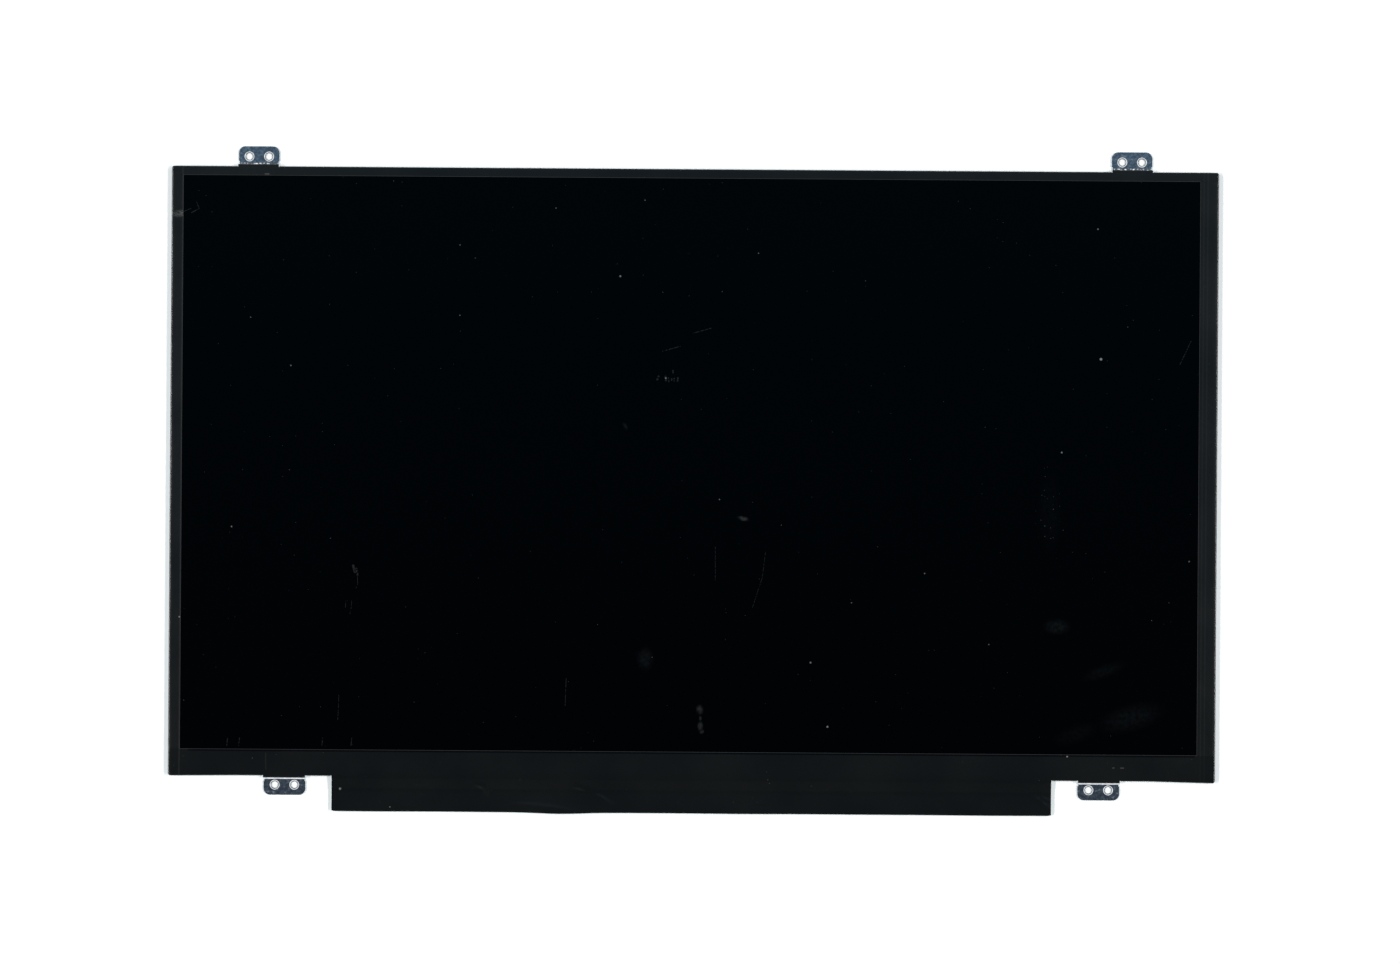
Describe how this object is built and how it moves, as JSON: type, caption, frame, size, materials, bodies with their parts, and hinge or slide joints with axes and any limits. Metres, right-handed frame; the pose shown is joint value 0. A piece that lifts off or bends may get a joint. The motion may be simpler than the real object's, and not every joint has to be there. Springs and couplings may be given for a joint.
{
  "type": "laptop screen panel",
  "caption": "Slim flat laptop display module with a dark screen, black taped edges, folded screw ears and a control board under a flap along its lower edge.",
  "frame": {"origin": "middle of the whole part's underside, on the plane of the back cover's pads", "axes": "+X to the right of the picture, +Y to its top, +Z out of the screen"},
  "size_m": [0.3204, 0.2034, 0.0034],
  "materials": {
    "black_tape": "satin black polyester tape",
    "screen_film": "near-black anti-glare polariser",
    "cell_glass": "thin display glass, dark when unlit",
    "rear_film": "grey polarising film",
    "optical_film": "milky optical film",
    "clear_acrylic": "clear acrylic",
    "reflector_white": "white reflector",
    "frame_plastic": "black moulded polycarbonate",
    "cover_metal": "pressed bare aluminium sheet",
    "ear_steel": "plated steel sheet",
    "board_green": "green solder mask",
    "chip_black": "black moulded package",
    "coil_grey": "grey ferrite",
    "capacitor_tan": "tan ceramic with tinned ends",
    "resistor_black": "black ceramic with tinned ends",
    "connector_plastic": "ivory moulded plastic",
    "shell_steel": "tinned steel shell",
    "contact_gold": "gold-plated contacts",
    "flex_film": "amber polyimide film",
    "diode_package": "white package with yellow window"
  },
  "bodies": {
    "root": {"back_cover": "cover_metal", "mould_frame": "frame_plastic", "reflector_sheet": "reflector_white", "light_guide_plate": "clear_acrylic", "diffuser_sheet": "optical_film", "lower_prism_sheet": "optical_film", "upper_prism_sheet": "optical_film", "light_strip_flex": "flex_film", "light_emitting_diodes": "diode_package", "cell_bonding_tape": "black_tape", "rear_polariser": "rear_film", "tft_glass": "cell_glass", "colour_filter_glass": "cell_glass", "front_polariser": "screen_film", "top_edge_tape": "black_tape", "left_edge_tape": "black_tape", "right_edge_tape": "black_tape", "board_cover_tape": "black_tape", "ear_bracket_top_left": "ear_steel", "ear_bracket_top_right": "ear_steel", "ear_bracket_bottom_left": "ear_steel", "ear_bracket_bottom_right": "ear_steel", "control_board": "board_green", "timing_chip": "chip_black", "memory_chip": "chip_black", "power_chip": "chip_black", "backlight_chip": "chip_black", "backlight_diode": "chip_black", "power_coil": "coil_grey", "backlight_coil": "coil_grey", "capacitors": "capacitor_tan", "resistors": "resistor_black", "signal_connector_housing": "connector_plastic", "signal_connector_shell": "shell_steel", "signal_connector_contacts": "contact_gold", "source_film_1": "flex_film", "source_chip_1": "chip_black", "source_film_2": "flex_film", "source_chip_2": "chip_black", "source_film_3": "flex_film", "source_chip_3": "chip_black", "source_film_4": "flex_film", "source_chip_4": "chip_black"}
  },
  "joints": []
}
